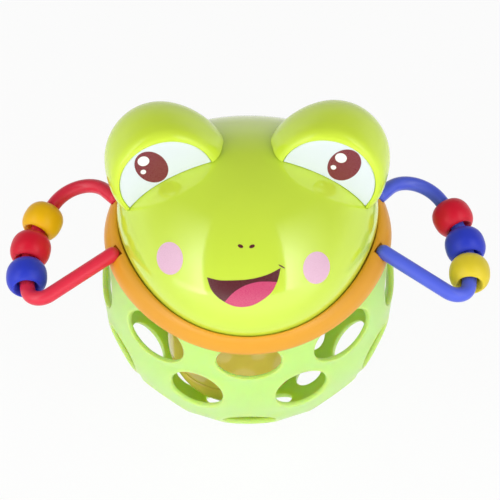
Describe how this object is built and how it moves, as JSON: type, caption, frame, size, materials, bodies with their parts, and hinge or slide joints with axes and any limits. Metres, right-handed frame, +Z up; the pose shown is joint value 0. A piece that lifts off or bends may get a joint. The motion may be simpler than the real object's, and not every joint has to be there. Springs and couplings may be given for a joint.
{
  "type": "frog rattle ball",
  "caption": "Baby rattle: soft lattice ball with finger holes and a loose rattle ball inside, a frog head with bulging eyes on an orange collar, and a bead loop on each side.",
  "frame": {"origin": "centre of the flat foot under the ball", "axes": "+Z up through the ball to the head, face towards -Y, +X to the viewer's right"},
  "size_m": [0.1546, 0.0987, 0.1135],
  "materials": {
    "soft_green": "satin, soft to the touch",
    "matt_orange": "matt",
    "gloss_lime": "polished",
    "eye_white": "satin",
    "plain_white": "matt",
    "red": "polished",
    "blue": "polished",
    "golden_yellow": "polished",
    "lemon_yellow": "polished",
    "rattle_yellow": "polished",
    "zinc_steel": "zinc plated"
  },
  "bodies": {
    "toy": {"cage_ball": "soft_green", "collar_ring": "matt_orange", "head_dome": "gloss_lime", "eye_hood_left": "gloss_lime", "eye_hood_right": "gloss_lime", "eye_plate_left": "eye_white", "eye_plate_right": "eye_white", "head_base_plate": "plain_white", "bead_loop_left": "red", "bead_loop_right": "blue", "plate_screw_1": "zinc_steel", "plate_screw_2": "zinc_steel", "plate_screw_3": "zinc_steel", "plate_screw_4": "zinc_steel"},
    "bead_left_front": {"bead_left_front": "blue"},
    "bead_left_middle": {"bead_left_middle": "red"},
    "bead_left_rear": {"bead_left_rear": "golden_yellow"},
    "bead_right_front": {"bead_right_front": "lemon_yellow"},
    "bead_right_middle": {"bead_right_middle": "blue"},
    "bead_right_rear": {"bead_right_rear": "red"},
    "rattle": {"rattle_shell_upper": "rattle_yellow", "rattle_shell_lower": "rattle_yellow"},
    "pellets": {"rattle_pellet_1": "plain_white", "rattle_pellet_2": "plain_white", "rattle_pellet_3": "plain_white", "rattle_pellet_4": "plain_white"}
  },
  "joints": [
    {"name": "bead_left_front_slide", "type": "hinge", "parent": "toy", "child": "bead_left_front", "pos_m": [-0.02562, -0.0094, 0.07944], "axis": [0.2419, 0, -0.9703], "range_deg": [0, 1]},
    {"name": "bead_left_middle_slide", "type": "hinge", "parent": "bead_left_front", "child": "bead_left_middle", "pos_m": [-0.02562, -0.0094, 0.07944], "axis": [0.2419, 0, -0.9703], "range_deg": [0, 1.2]},
    {"name": "bead_left_rear_slide", "type": "hinge", "parent": "bead_left_middle", "child": "bead_left_rear", "pos_m": [-0.02562, -0.0094, 0.07944], "axis": [0.2419, 0, -0.9703], "range_deg": [0, 1.6]},
    {"name": "bead_right_front_slide", "type": "hinge", "parent": "toy", "child": "bead_right_front", "pos_m": [0.02562, -0.0094, 0.07944], "axis": [0.2419, 0, 0.9703], "range_deg": [0, 1]},
    {"name": "bead_right_middle_slide", "type": "hinge", "parent": "bead_right_front", "child": "bead_right_middle", "pos_m": [0.02562, -0.0094, 0.07944], "axis": [0.2419, 0, 0.9703], "range_deg": [0, 1.2]},
    {"name": "bead_right_rear_slide", "type": "hinge", "parent": "bead_right_middle", "child": "bead_right_rear", "pos_m": [0.02562, -0.0094, 0.07944], "axis": [0.2419, 0, 0.9703], "range_deg": [0, 1.6]},
    {"name": "rattle_bounce", "type": "slide", "parent": "toy", "child": "rattle", "axis": [0, 0, 1], "range_m": [0, 0.018]},
    {"name": "pellet_roll", "type": "hinge", "parent": "rattle", "child": "pellets", "pos_m": [-0.0042, -0.0095, 0.0279], "axis": [1, 0, 0], "range_deg": [-70, 70]}
  ]
}
